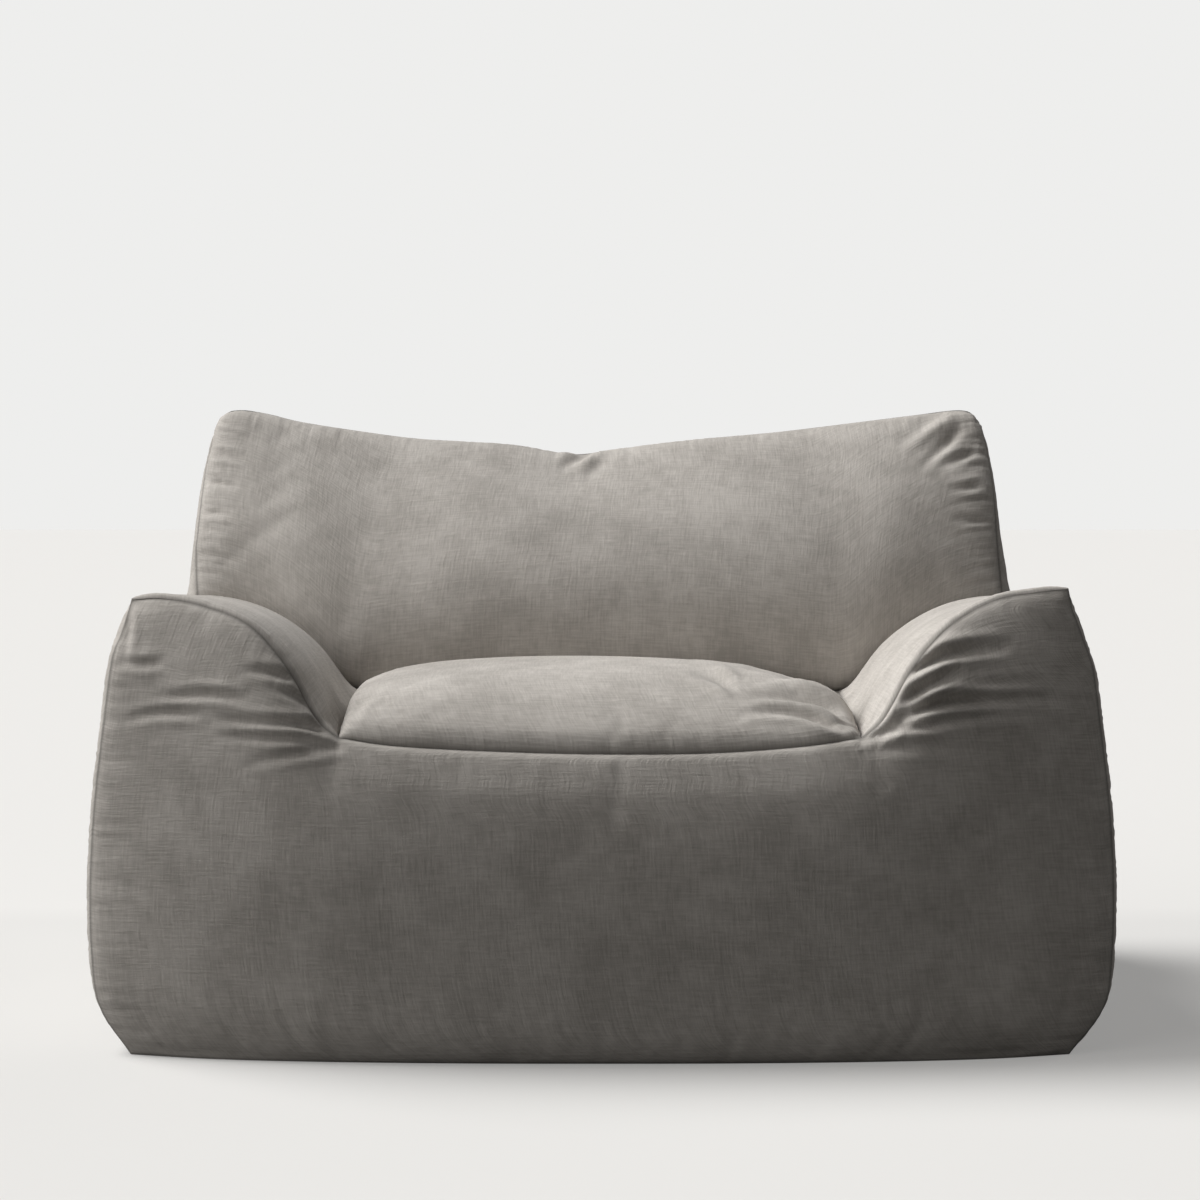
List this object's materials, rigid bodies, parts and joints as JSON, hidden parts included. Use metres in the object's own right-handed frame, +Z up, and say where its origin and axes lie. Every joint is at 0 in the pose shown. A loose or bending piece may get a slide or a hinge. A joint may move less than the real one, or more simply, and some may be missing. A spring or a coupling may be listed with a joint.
{
  "type": "bean bag chair",
  "caption": "Wide, low bean bag chair with two padded arms, a leaning pillow backrest and a domed seat, in a sewn grey fabric cover with a rear zip.",
  "frame": {"origin": "on the floor under the middle of the chair", "axes": "+X across the chair, to the right of somebody who looks at its front; the front faces -Y; +Z is up"},
  "size_m": [1.3708, 0.9659, 0.8475],
  "materials": {
    "cover_fabric": "washed woven cloth with a soft nap, matt",
    "liner_fabric": "plain downproof polycotton",
    "bead_fill": "loose expanded beads",
    "zip_tape": "woven zip tape",
    "zip_coil": "moulded nylon coil",
    "zip_metal": "gunmetal, satin",
    "label_fabric": "blank woven label"
  },
  "bodies": {
    "chair": {"base_panel": "cover_fabric", "front_panel": "cover_fabric", "left_side_panel": "cover_fabric", "right_side_panel": "cover_fabric", "rear_upper_panel": "cover_fabric", "rear_lower_panel": "cover_fabric", "seat_panel": "cover_fabric", "left_inner_arm_panel": "cover_fabric", "right_inner_arm_panel": "cover_fabric", "backrest_panel": "cover_fabric", "base_liner": "liner_fabric", "backrest_liner": "liner_fabric", "left_arm_liner": "liner_fabric", "right_arm_liner": "liner_fabric", "base_fill": "bead_fill", "backrest_fill": "bead_fill", "left_arm_fill": "bead_fill", "right_arm_fill": "bead_fill", "base_liner_zip": "zip_tape", "backrest_liner_zip": "zip_tape", "left_arm_liner_zip": "zip_tape", "right_arm_liner_zip": "zip_tape", "zip_upper_tape": "zip_tape", "zip_lower_tape": "zip_tape", "zip_upper_coil": "zip_coil", "zip_lower_coil": "zip_coil", "zip_left_stop": "zip_metal", "zip_right_stop": "zip_metal", "care_label": "label_fabric"},
    "slider": {"zip_slider": "zip_metal"},
    "pull_tab": {"zip_pull_tab": "zip_metal"}
  },
  "joints": [
    {"name": "zip_slide", "type": "slide", "parent": "chair", "child": "slider", "axis": [1, 0, 0], "range_m": [-0.883, 0]},
    {"name": "pull_tab_hinge", "type": "hinge", "parent": "slider", "child": "pull_tab", "pos_m": [0.4416, 0.4838, 0.2], "axis": [0, 0, -1], "range_deg": [0, 170]}
  ]
}
